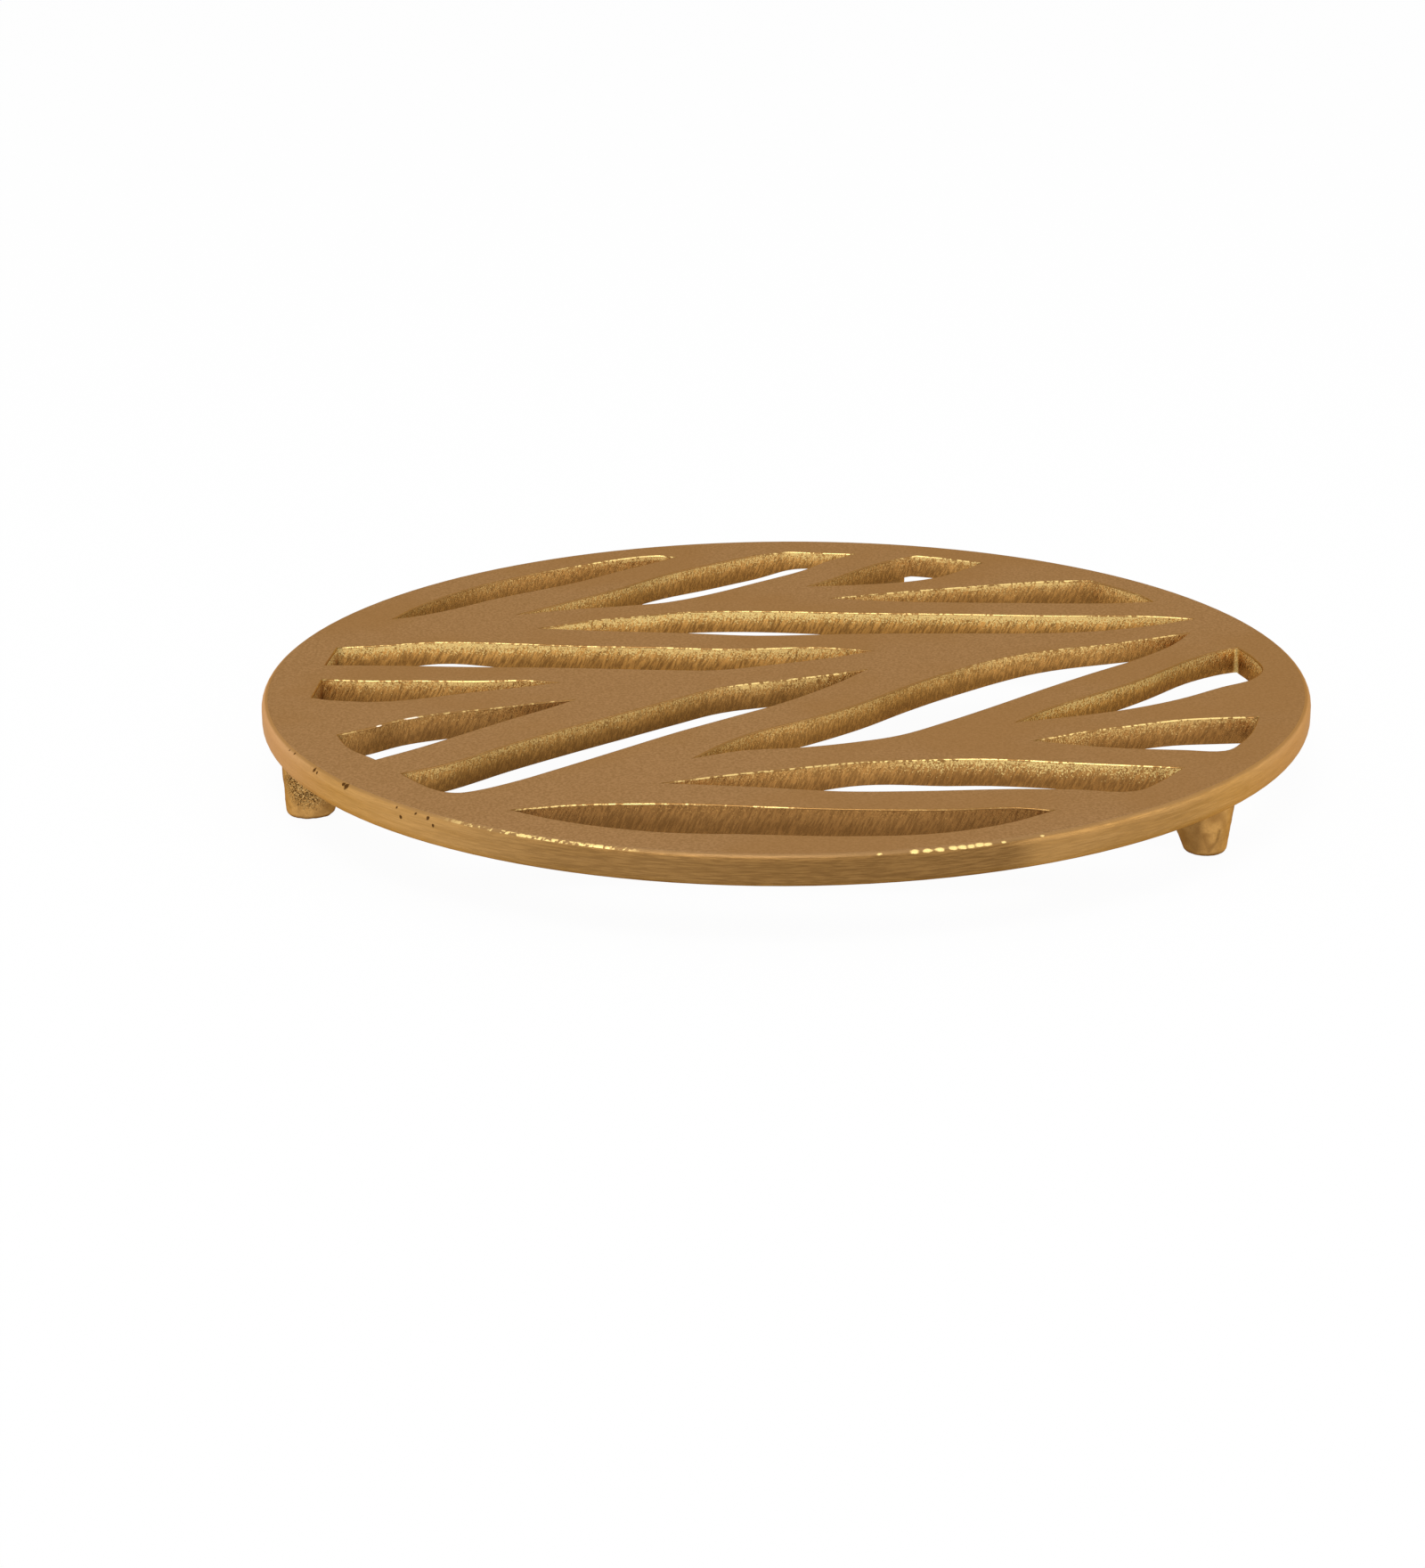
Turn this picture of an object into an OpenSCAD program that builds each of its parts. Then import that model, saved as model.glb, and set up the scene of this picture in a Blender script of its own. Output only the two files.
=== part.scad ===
// Round trivet: a pierced metal plate that stands on tapered pegs.
// The origin is on the table, under the middle of the plate. +Z is up.

/* [Plate] */
// Diameter of the plate
plate_d = 200; // [180:1:240]
// Thickness of the plate
plate_t = 5.2; // [4.6:0.1:7]
// Width of the small bevel on the rim's top and bottom edges
rim_bevel = 0.9; // [0.3:0.1:1.2]

/* [Feet] */
// Height of the whole trivet, from the table to the top of the plate
total_h = 15.9; // [13:0.1:24]
// Diameter of a foot where it meets the plate
foot_top_d = 10.4; // [9.6:0.1:11.2]
// Diameter of a foot at the table, before its edge is rounded
foot_end_d = 9.4; // [8:0.1:9.6]
// Radius of the rounding round a foot's lower edge
foot_round = 2.2; // [0.8:0.1:2.8]
// Distance from the rim in to the side of the left foot
left_foot_edge = 1.0; // [0.8:0.1:2]
// Distance from the rim in to the side of the right foot
right_foot_edge = 2.2; // [1.2:0.1:2.6]
// Distance from the rim in to the side of the rear foot
rear_foot_edge = 1.6; // [1:0.1:2.6]

/* [Foot joints] */
// Diameter of the spigot on top of a foot
spigot_d = 4; // [3:0.1:5]
// Height of the spigot above the foot's shoulder
spigot_h = 2.8; // [1.5:0.1:3.2]
// Bevel that leads the spigot into its socket
spigot_bevel = 0.4; // [0.2:0.1:0.6]
// Space all round the spigot in its socket, filled by the brazing
socket_clear = 0.04; // [0.02:0.01:0.1]
// Space left above the spigot in its socket
socket_gap = 0.3; // [0.2:0.1:0.5]

/* [Hidden] */

// Directions of the left, right and rear feet, in degrees from +X
left_angle = 200.5;
right_angle = 324;
rear_angle = 77;
// Each foot's direction and its distance from the rim
left_place = [left_angle, left_foot_edge];
right_place = [right_angle, right_foot_edge];
rear_place = [rear_angle, rear_foot_edge];

plate_r = plate_d / 2;
foot_h = total_h - plate_t;
foot_top_r = foot_top_d / 2;
foot_end_r = foot_end_d / 2;
spigot_r = spigot_d / 2;

// How far a cutting solid runs past the face that it cuts
overrun = 1;
// Straight pieces in one stretch of a slot's outline, and in a foot's rounding
curve_steps = 5;
round_steps = 8;
$fn = 128;

metal = [0.64, 0.49, 0.29];
metal_dark = [0.60, 0.45, 0.26];

// Outlines of the slots, seen from above and in order from the back of the
// plate to its front. Each point is [x, y, corner], with x and y as shares of
// the plate's radius. The outline is sharp at a point whose corner is 1, and
// runs smoothly through one whose corner is 0.
back_left_shares = [
    [-0.795, 0.400, 1], [-0.750, 0.495, 0], [-0.650, 0.630, 0],
    [-0.550, 0.720, 0], [-0.450, 0.790, 0], [-0.350, 0.850, 0],
    [-0.275, 0.875, 0], [-0.235, 0.860, 1], [-0.295, 0.805, 0],
    [-0.365, 0.740, 0], [-0.435, 0.670, 0], [-0.520, 0.605, 0],
    [-0.600, 0.545, 0], [-0.670, 0.480, 0], [-0.735, 0.430, 0]];
back_middle_shares = [
    [-0.540, 0.430, 1], [-0.450, 0.515, 0], [-0.350, 0.610, 0],
    [-0.255, 0.720, 0], [-0.155, 0.805, 0], [-0.065, 0.870, 0],
    [0.010, 0.900, 1], [0.075, 0.890, 0], [0.150, 0.880, 1],
    [0.095, 0.830, 0], [0.035, 0.750, 0], [-0.055, 0.665, 0],
    [-0.155, 0.575, 0], [-0.245, 0.515, 0], [-0.330, 0.490, 0],
    [-0.440, 0.465, 0]];
back_right_shares = [
    [0.050, 0.630, 1], [0.105, 0.690, 0], [0.165, 0.765, 0],
    [0.230, 0.830, 0], [0.285, 0.865, 1], [0.350, 0.840, 0],
    [0.420, 0.805, 1], [0.375, 0.750, 0], [0.320, 0.695, 0],
    [0.245, 0.660, 0], [0.145, 0.640, 0]];
right_back_shares = [
    [0.100, 0.540, 1], [0.195, 0.570, 0], [0.300, 0.600, 0],
    [0.440, 0.635, 0], [0.550, 0.660, 0], [0.640, 0.665, 1],
    [0.690, 0.610, 0], [0.735, 0.550, 0], [0.755, 0.505, 1],
    [0.650, 0.495, 0], [0.490, 0.500, 0], [0.290, 0.510, 0],
    [0.175, 0.525, 0]];
long_back_shares = [
    [-0.490, 0.330, 1], [-0.385, 0.385, 0], [-0.300, 0.410, 0],
    [-0.205, 0.440, 0], [-0.055, 0.445, 0], [0.145, 0.430, 0],
    [0.340, 0.420, 0], [0.540, 0.405, 0], [0.730, 0.400, 0],
    [0.825, 0.380, 1], [0.760, 0.345, 0], [0.655, 0.305, 0],
    [0.540, 0.285, 0], [0.340, 0.285, 0], [0.145, 0.285, 0],
    [-0.055, 0.275, 0], [-0.205, 0.295, 0], [-0.350, 0.310, 0]];
long_left_shares = [
    [-0.885, 0.200, 1], [-0.795, 0.215, 0], [-0.690, 0.235, 0],
    [-0.550, 0.225, 0], [-0.400, 0.205, 0], [-0.250, 0.195, 0],
    [-0.105, 0.180, 0], [0.065, 0.190, 0], [0.170, 0.165, 1],
    [0.085, 0.120, 0], [-0.005, 0.085, 0], [-0.125, 0.045, 0],
    [-0.225, 0.045, 0], [-0.400, 0.060, 0], [-0.600, 0.070, 0],
    [-0.755, 0.080, 0], [-0.895, 0.085, 1]];
short_left_shares = [
    [-0.890, -0.010, 1], [-0.795, -0.020, 0], [-0.700, -0.020, 0],
    [-0.600, -0.025, 0], [-0.500, -0.020, 0], [-0.435, -0.035, 1],
    [-0.500, -0.060, 0], [-0.600, -0.095, 0], [-0.700, -0.135, 0],
    [-0.775, -0.150, 0], [-0.855, -0.140, 0], [-0.895, -0.125, 1]];
left_front_shares = [
    [-0.820, -0.350, 1], [-0.765, -0.310, 0], [-0.710, -0.260, 0],
    [-0.640, -0.225, 0], [-0.550, -0.195, 0], [-0.455, -0.160, 0],
    [-0.400, -0.145, 1], [-0.440, -0.190, 0], [-0.515, -0.265, 0],
    [-0.590, -0.345, 0], [-0.660, -0.420, 0], [-0.735, -0.490, 1],
    [-0.790, -0.425, 0]];
long_diagonal_shares = [
    [-0.680, -0.570, 1], [-0.600, -0.515, 0], [-0.500, -0.410, 0],
    [-0.400, -0.315, 0], [-0.300, -0.225, 0], [-0.205, -0.140, 0],
    [-0.120, -0.070, 0], [-0.005, -0.025, 0], [0.075, 0.005, 0],
    [0.155, 0.040, 1], [0.090, -0.055, 0], [-0.005, -0.165, 0],
    [-0.105, -0.255, 0], [-0.200, -0.340, 0], [-0.300, -0.440, 0],
    [-0.400, -0.540, 0], [-0.485, -0.620, 0], [-0.560, -0.670, 0],
    [-0.600, -0.665, 0], [-0.645, -0.620, 0]];
wide_diagonal_shares = [
    [-0.160, -0.485, 1], [-0.105, -0.400, 0], [-0.045, -0.335, 0],
    [0.045, -0.265, 0], [0.145, -0.170, 0], [0.230, -0.070, 0],
    [0.310, 0.015, 0], [0.400, 0.095, 0], [0.500, 0.155, 0],
    [0.640, 0.205, 0], [0.805, 0.280, 1], [0.760, 0.195, 0],
    [0.680, 0.100, 0], [0.590, 0.015, 0], [0.490, -0.085, 0],
    [0.390, -0.190, 0], [0.295, -0.285, 0], [0.210, -0.360, 0],
    [0.125, -0.400, 0], [0.025, -0.430, 0], [-0.075, -0.445, 0]];
right_middle_shares = [
    [0.430, -0.285, 1], [0.490, -0.210, 0], [0.580, -0.125, 0],
    [0.680, -0.030, 0], [0.780, 0.090, 0], [0.850, 0.155, 0],
    [0.890, 0.180, 1], [0.910, 0.115, 0], [0.920, 0.035, 0],
    [0.890, -0.030, 0], [0.830, -0.075, 0], [0.740, -0.150, 0],
    [0.640, -0.210, 0], [0.540, -0.250, 0]];
right_front_shares = [
    [0.455, -0.395, 1], [0.550, -0.345, 0], [0.640, -0.310, 0],
    [0.740, -0.275, 0], [0.875, -0.260, 1], [0.855, -0.340, 0],
    [0.825, -0.410, 0], [0.790, -0.455, 0], [0.720, -0.450, 0],
    [0.590, -0.435, 0]];
front_shares = [
    [-0.210, -0.625, 1], [-0.105, -0.585, 0], [-0.005, -0.555, 0],
    [0.115, -0.520, 0], [0.235, -0.505, 0], [0.370, -0.500, 0],
    [0.530, -0.525, 0], [0.705, -0.550, 1], [0.660, -0.620, 0],
    [0.605, -0.675, 0], [0.510, -0.665, 0], [0.410, -0.660, 0],
    [0.235, -0.670, 0], [0.095, -0.670, 0], [-0.055, -0.645, 0]];
near_rim_shares = [
    [-0.470, -0.765, 1], [-0.360, -0.740, 0], [-0.200, -0.735, 0],
    [-0.055, -0.750, 0], [0.095, -0.765, 0], [0.275, -0.770, 0],
    [0.395, -0.760, 0], [0.460, -0.775, 1], [0.365, -0.845, 0],
    [0.245, -0.890, 0], [0.095, -0.900, 0], [-0.055, -0.890, 0],
    [-0.200, -0.880, 0], [-0.310, -0.850, 0], [-0.400, -0.810, 0]];

slot_tables = [
    back_left_shares, back_middle_shares, back_right_shares,
    right_back_shares, long_back_shares, long_left_shares,
    short_left_shares, left_front_shares, long_diagonal_shares,
    wide_diagonal_shares, right_middle_shares, right_front_shares,
    front_shares, near_rim_shares];

// Unit vector along v
function unit(v) = v / norm(v);
// The i-th point of an outline in millimetres, counted round and round
function knot(table, i) =
    let (k = table[(i + len(table)) % len(table)]) [k[0], k[1]] * plate_r;
function is_corner(table, i) = table[(i + len(table)) % len(table)][2] == 1;
// Direction of the outline at a point, where a stretch starts or ends there.
// At a corner it is the direction of that stretch.
function heading(table, i, stretch) =
    is_corner(table, i) ? unit(stretch)
    : unit(knot(table, i + 1) - knot(table, i - 1));
// A point on the smooth curve from a to b that leaves along u and arrives along v
function curve_point(a, b, u, v, s) =
    let (reach = norm(b - a))
    (2 * s * s * s - 3 * s * s + 1) * a
    + (s * s * s - 2 * s * s + s) * reach * u
    + (3 * s * s - 2 * s * s * s) * b
    + (s * s * s - s * s) * reach * v;
function slot_outline(table) = [
    for (i = [0:len(table) - 1])
        let (
            a = knot(table, i),
            b = knot(table, i + 1),
            u = heading(table, i, b - a),
            v = heading(table, i + 1, b - a)
        )
        for (k = [0:curve_steps - 1]) curve_point(a, b, u, v, k / curve_steps)];

// The plate's section from its axis to the rim, with the bevels
module plate_section() {
    polygon([
        [0, 0],
        [plate_r - rim_bevel, 0],
        [plate_r, rim_bevel],
        [plate_r, plate_t - rim_bevel],
        [plate_r - rim_bevel, plate_t],
        [0, plate_t]]);
}

module slot(table) {
    translate([0, 0, -overrun])
        linear_extrude(height = plate_t + 2 * overrun)
            polygon(slot_outline(table));
}

// Puts its children at a foot's place
module at_foot(place) {
    rotate(place[0])
        translate([plate_r - place[1] - foot_top_r, 0, 0])
            children();
}

// Blind hole in the underside of the plate for one foot's spigot
module socket() {
    translate([0, 0, -overrun])
        cylinder(r = spigot_r + socket_clear, h = overrun + spigot_h + socket_gap);
}

module plate() {
    color(metal)
        translate([0, 0, foot_h])
            difference() {
                rotate_extrude() plate_section();
                for (table = slot_tables) slot(table);
                for (place = [left_place, right_place, rear_place])
                    at_foot(place) socket();
            }
}

// A foot's section from its axis out: the rounded end, the tapered side, the
// flat shoulder that seats on the plate, and the spigot
module foot_section() {
    round_centre_r = foot_end_r - foot_round;
    polygon(concat(
        [[0, 0]],
        [for (k = [0:round_steps])
            let (turn = 90 * k / round_steps)
            [round_centre_r + foot_round * sin(turn), foot_round * (1 - cos(turn))]],
        [[foot_top_r, foot_h],
        [spigot_r, foot_h],
        [spigot_r, foot_h + spigot_h - spigot_bevel],
        [spigot_r - spigot_bevel, foot_h + spigot_h],
        [0, foot_h + spigot_h]]));
}

module foot(place) {
    color(metal_dark)
        at_foot(place)
            rotate_extrude() foot_section();
}

plate();
foot(left_place);  // foot_left
foot(right_place);  // foot_right
foot(rear_place);  // foot_rear
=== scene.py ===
"""Looks of the cast brass trivet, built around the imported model.

The plate is dressed from a copy of its CAD solid, with rounded arrises and
filed slot walls. The feet are modelled as rough cast pegs. Sizes are in metres,
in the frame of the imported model, and tables of places are in millimetres.
"""

import logging
import math
from collections import defaultdict
from collections.abc import Callable, Iterator
from contextlib import contextmanager
from dataclasses import dataclass, field
from enum import Enum
from functools import reduce

import bpy
from mathutils import Matrix, Vector


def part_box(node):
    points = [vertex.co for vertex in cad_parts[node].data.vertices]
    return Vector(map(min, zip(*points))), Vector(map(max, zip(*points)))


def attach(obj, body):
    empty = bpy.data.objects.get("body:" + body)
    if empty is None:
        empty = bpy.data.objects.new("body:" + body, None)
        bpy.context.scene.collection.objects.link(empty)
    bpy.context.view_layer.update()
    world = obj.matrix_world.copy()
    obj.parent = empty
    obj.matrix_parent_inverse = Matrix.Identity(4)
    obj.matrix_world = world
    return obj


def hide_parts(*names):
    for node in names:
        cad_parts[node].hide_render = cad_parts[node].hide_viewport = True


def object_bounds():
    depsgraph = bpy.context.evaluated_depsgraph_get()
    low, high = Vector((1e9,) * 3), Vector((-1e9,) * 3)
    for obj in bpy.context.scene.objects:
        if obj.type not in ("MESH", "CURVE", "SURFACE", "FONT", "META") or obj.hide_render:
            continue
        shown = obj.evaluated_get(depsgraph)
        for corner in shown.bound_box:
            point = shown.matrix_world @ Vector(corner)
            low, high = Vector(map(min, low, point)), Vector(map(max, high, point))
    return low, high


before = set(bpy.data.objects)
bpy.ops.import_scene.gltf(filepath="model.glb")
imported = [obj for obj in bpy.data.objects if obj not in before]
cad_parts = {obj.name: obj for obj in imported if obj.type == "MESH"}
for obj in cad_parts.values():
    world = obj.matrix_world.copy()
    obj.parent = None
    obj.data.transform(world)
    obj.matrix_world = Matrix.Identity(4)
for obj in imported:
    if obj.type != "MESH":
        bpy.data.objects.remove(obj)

Piece = bpy.types.Object
Tree = bpy.types.NodeTree
Socket = bpy.types.NodeSocket
Sockets = bpy.types.bpy_prop_collection
Tone = tuple[float, float, float, float]
Place = tuple[float, float, float]
Pair = tuple[float, float]

LOG = logging.getLogger("trivet")
CAD_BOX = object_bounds()
PLATE_LOW, PLATE_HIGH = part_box("plate")
MM = 0.001
TOP = PLATE_HIGH.z / MM
PHOTO_WIDTH = 1600
PHOTO_HEIGHT = 1760


class Zone(Enum):
    """Zones of the plate, each finished in its own way, with the number of its material."""

    FACE = 0
    RIM = 1
    WALL = 2
    ARRIS = 3


class Element(Enum):
    """What is selected in edit mode, with the name of its list in a mesh."""

    VERT = "vertices"
    EDGE = "edges"
    FACE = "polygons"


def clamp(value: float) -> float:
    """Keep a value between 0 and 1."""
    return min(1.0, max(0.0, value))


def deselect_all() -> None:
    """Leave nothing selected."""
    bpy.ops.object.select_all(action="DESELECT")


def make_active(piece: Piece) -> None:
    """Select one piece alone and make it the active one.

    Args:
        piece: The object to work on.
    """
    deselect_all()
    piece.select_set(True)
    bpy.context.view_layer.objects.active = piece


@contextmanager
def editing(piece: Piece, kind: Element, chosen: Callable[..., bool]) -> Iterator[None]:
    """Hold a piece in edit mode with the chosen elements selected.

    Args:
        piece: The mesh object to edit.
        kind: The kind of element that is selected.
        chosen: The test that an element passes to be selected.

    Returns:
        A context, after which the piece is back in object mode.
    """
    make_active(piece)
    bpy.ops.object.mode_set(mode="EDIT")
    bpy.ops.mesh.select_mode(type=kind.name)
    bpy.ops.mesh.select_all(action="DESELECT")
    bpy.ops.object.mode_set(mode="OBJECT")
    for element in getattr(piece.data, kind.value):
        element.select = chosen(element)
    bpy.ops.object.mode_set(mode="EDIT")
    yield
    bpy.ops.object.mode_set(mode="OBJECT")


def faces_by_edge(mesh: bpy.types.Mesh) -> dict[tuple[int, int], list[int]]:
    """List the faces that meet at each edge.

    Args:
        mesh: The mesh.

    Returns:
        The numbers of the faces, by the edge's key of two vertex numbers.
    """
    faces: dict[tuple[int, int], list[int]] = defaultdict(list)
    for polygon in mesh.polygons:
        for key in polygon.edge_keys:
            faces[key].append(polygon.index)
    return faces


def settle(piece: Piece) -> None:
    """Put a piece's place into its mesh, so that its object is at the origin."""
    make_active(piece)
    bpy.ops.object.transform_apply(location=True, rotation=True, scale=True)


def srgb(*channels: int) -> Tone:
    """Turn an 8-bit screen colour into a linear one.

    Args:
        *channels: Its red, green and blue, 0 to 255.

    Returns:
        The linear colour with an alpha of 1.
    """
    shares = [channel / 255 for channel in channels]
    linear = [share / 12.92 if share <= 0.04045 else ((share + 0.055) / 1.055) ** 2.4 for share in shares]
    return (*linear, 1.0)


@dataclass(frozen=True)
class Fade:
    """A mask along one axis, from its least value at the start to 1 where it is full, in millimetres."""

    axis: str
    start: float
    full: float
    least: float = 0.0


@dataclass
class Nodes:
    """A short way to add and join shader nodes in one tree."""

    tree: Tree

    @classmethod
    def empty(cls, owner: bpy.types.Material | bpy.types.World) -> "Nodes":
        """Empty the tree of a material or a world.

        Args:
            owner: The material or the world.

        Returns:
            The helper of its tree.
        """
        owner.use_nodes = True
        owner.node_tree.nodes.clear()
        return cls(owner.node_tree)

    def feed(self, value: object, socket: Socket) -> None:
        """Give an input its link or its own value.

        Args:
            value: An output to link it to, or a number or colour.
            socket: The input.
        """
        if isinstance(value, Socket):
            self.tree.links.new(value, socket)
        else:
            socket.default_value = value

    def add(self, kind: str, **values: object) -> bpy.types.Node:
        """Add a node with its properties and inputs.

        Args:
            kind: The node's type name, without the ShaderNode in front.
            **values: Properties, or inputs with spaces written as underscores.

        Returns:
            The new node.
        """
        node = self.tree.nodes.new("ShaderNode" + kind)
        for name, value in values.items():
            if hasattr(node, name):
                setattr(node, name, value)
            else:
                self.feed(value, node.inputs[name.replace("_", " ")])
        return node

    def group(self, effect: Tree, point: Socket, **values: object) -> Sockets:
        """Place a shared group with its point and its values, and give its outputs."""
        return self.add("Group", node_tree=effect, Vector=point, **values).outputs

    def noise(self, given: Sockets, scale: str, **values: object) -> Socket:
        """Add a noise of about 0 to 1, at the point and one of the scales that a group is given."""
        return self.add("TexNoise", Vector=given["Vector"], Scale=given[scale], **values).outputs["Fac"]

    def math(self, operation: str, *values: object) -> Socket:
        """Do one sum on sockets or numbers.

        Args:
            operation: The Math node's operation.
            *values: One or two sockets or numbers.

        Returns:
            The result's socket.
        """
        node = self.add("Math", operation=operation)
        for value, socket in zip(values, node.inputs):
            self.feed(value, socket)
        return node.outputs[0]

    def chain(self, operation: str, *values: object) -> Socket:
        """Do the same sum on any number of sockets and numbers in turn."""
        return reduce(lambda result, value: self.math(operation, result, value), values)

    def product(self, *factors: object) -> Socket:
        """Multiply sockets and numbers together."""
        return self.chain("MULTIPLY", *factors)

    def total(self, *terms: object) -> Socket:
        """Add sockets and numbers together."""
        return self.chain("ADD", *terms)

    def amount(self, value: Socket, least: float, more: float) -> Socket:
        """Start at the least amount and go up by more as the value goes from 0 to 1."""
        return self.total(least, self.product(value, more))

    def mix(self, share: object, first: object, second: object) -> Socket:
        """Mix two colours.

        Args:
            share: How much of the second one there is, a socket or a number.
            first: A colour or a colour socket.
            second: A colour or a colour socket.

        Returns:
            The mixed colour's socket.
        """
        node = self.add("Mix", data_type="RGBA")
        for value, index in ((share, 0), (first, 6), (second, 7)):
            self.feed(value, node.inputs[index])
        return node.outputs[2]

    def ramp(self, value: Socket, low: float, high: float) -> Socket:
        """Stretch a value smoothly, so that low becomes 0 and high becomes 1."""
        return self.add(
            "MapRange", interpolation_type="SMOOTHSTEP", Value=value, From_Min=low, From_Max=high).outputs[0]

    def span(self, value: Socket, low: float, high: float) -> Socket:
        """Stretch a coordinate as ramp does, between two places in millimetres."""
        return self.ramp(value, low * MM, high * MM)

    def fade(self, place: Sockets, *fades: Fade) -> Socket:
        """Mask the stretch where several fades overlap."""
        return self.product(*(
            self.amount(self.span(place[fade.axis], fade.start, fade.full), fade.least, 1 - fade.least)
            for fade in fades))

    def object_point(self, scale: Place = (1, 1, 1), lean: float = 0.0) -> Socket:
        """Give the point on the object, turned about the cross axis and then scaled.

        Args:
            scale: How many times each of the three axes is stretched.
            lean: The turn about the Y axis, in degrees.

        Returns:
            The turned and scaled point's socket.
        """
        place = self.add("TexCoord").outputs["Object"]
        return self.add(
            "Mapping", vector_type="TEXTURE", Vector=place, Rotation=(0, math.radians(lean), 0),
            Scale=tuple(1 / share for share in scale)).outputs[0]

    def axes(self) -> Sockets:
        """The three coordinates of the point on the object."""
        return self.add("SeparateXYZ", Vector=self.object_point()).outputs

    def attribute(self, name: str) -> Socket:
        """A number that the mesh carries at each vertex."""
        return self.add("Attribute", attribute_name=name).outputs["Fac"]


class Coat(Nodes):
    """The nodes of one finish, with the colour and the height that it builds up."""

    colour: Socket
    height: Socket

    def cover(self, tone: object, *masks: object) -> None:
        """Lay a tone over the colour, as much as the product of its masks says."""
        self.colour = self.mix(self.product(*masks), self.colour, tone)


def shader_group(
        name: str, inputs: dict[str, float], outputs: tuple[str, ...]) -> tuple[Nodes, Sockets, Sockets]:
    """Start a node group that reads a point and numbers, and puts out masks.

    Args:
        name: The group's name.
        inputs: Each number's name with its first value.
        outputs: The masks' names.

    Returns:
        The helper of its tree, the sockets that give its inputs, and those that take its masks.
    """
    group = bpy.data.node_groups.new(name, "ShaderNodeTree")
    group.interface.new_socket("Vector", in_out="INPUT", socket_type="NodeSocketVector")
    for label, value in inputs.items():
        socket = group.interface.new_socket(label, in_out="INPUT", socket_type="NodeSocketFloat")
        socket.default_value = value
    for label in outputs:
        group.interface.new_socket(label, in_out="OUTPUT", socket_type="NodeSocketFloat")
    start = group.nodes.new("NodeGroupInput")
    end = group.nodes.new("NodeGroupOutput")
    return Nodes(group), start.outputs, end.inputs


@dataclass(frozen=True)
class SharedEffects:
    """Node groups that more than one finish uses."""

    grain: Tree
    streaks: Tree
    glints: Tree
    cast_mark_and_glint: Tree

    @classmethod
    def build(cls) -> "SharedEffects":
        """Make every shared group once."""
        return cls(cls.make_grain(), cls.make_streaks(), cls.make_glints(), cls.make_cast_mark_and_glint())

    @staticmethod
    def make_grain() -> Tree:
        """Fine cast grain with a slow change of tone over it.

        Returns:
            The group, with the outputs Fine and Slow, both about 0 to 1.
        """
        nodes, given, masks = shader_group(
            "metal grain", {"Fine scale": 2500.0, "Slow scale": 60.0}, ("Fine", "Slow"))
        nodes.feed(nodes.noise(given, "Fine scale", Detail=3.0, Roughness=0.6), masks["Fine"])
        nodes.feed(nodes.noise(given, "Slow scale", Detail=2.0, Roughness=0.5), masks["Slow"])
        return nodes.tree

    @staticmethod
    def make_streaks() -> Tree:
        """Marks of a file or a brush, drawn out along one axis by the point given.

        Returns:
            The group, with the output Mark, about 0 to 1.
        """
        nodes, given, masks = shader_group("tool streaks", {"Scale": 1000.0, "Wander": 0.4}, ("Mark",))
        strokes = nodes.noise(given, "Scale", Detail=4.0, Roughness=0.65, Distortion=given["Wander"])
        nodes.feed(nodes.ramp(strokes, 0.36, 0.64), masks["Mark"])
        return nodes.tree

    @staticmethod
    def make_glints() -> Tree:
        """Short dashes, the mask for painted glints where a worn arris catches the light, and for the face's
        dark specks.

        Returns:
            The group, with the output Glint: 1 in a dash and 0 between dashes.
        """
        nodes, given, masks = shader_group(
            "arris glints", {"Scale": 900.0, "Cover": 0.5, "Patches": 70.0}, ("Glint",))
        dashes = nodes.noise(given, "Scale", Detail=1.0, Roughness=0.6)
        patches = nodes.noise(given, "Patches", Detail=1.0)
        level = nodes.total(dashes, given["Cover"], nodes.product(patches, 0.5))
        nodes.feed(nodes.ramp(level, 1.22, 1.40), masks["Glint"])
        return nodes.tree

    @staticmethod
    def make_cast_mark_and_glint() -> Tree:
        """One small spot with a ragged edge, the mask for cast marks such as pits and for painted glints.

        Returns:
            The group, with the output Spot: 1 in the spot and 0 outside it.
        """
        nodes, given, masks = shader_group(
            "casting flaw", {"X": 0.0, "Y": 0.0, "Z": 0.0, "Reach": 0.0005, "Edge scale": 2200.0}, ("Spot",))
        ragged = nodes.noise(given, "Edge scale", Detail=2.0)
        middle = nodes.add("CombineXYZ", X=given["X"], Y=given["Y"], Z=given["Z"])
        far = nodes.add("VectorMath", operation="DISTANCE")
        nodes.feed(given["Vector"], far.inputs[0])
        nodes.feed(middle.outputs[0], far.inputs[1])
        share = nodes.math("DIVIDE", far.outputs["Value"], given["Reach"])
        share = nodes.total(share, nodes.math("SUBTRACT", ragged, 0.5))
        nodes.feed(nodes.ramp(share, 1.1, 0.6), masks["Spot"])
        return nodes.tree


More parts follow.
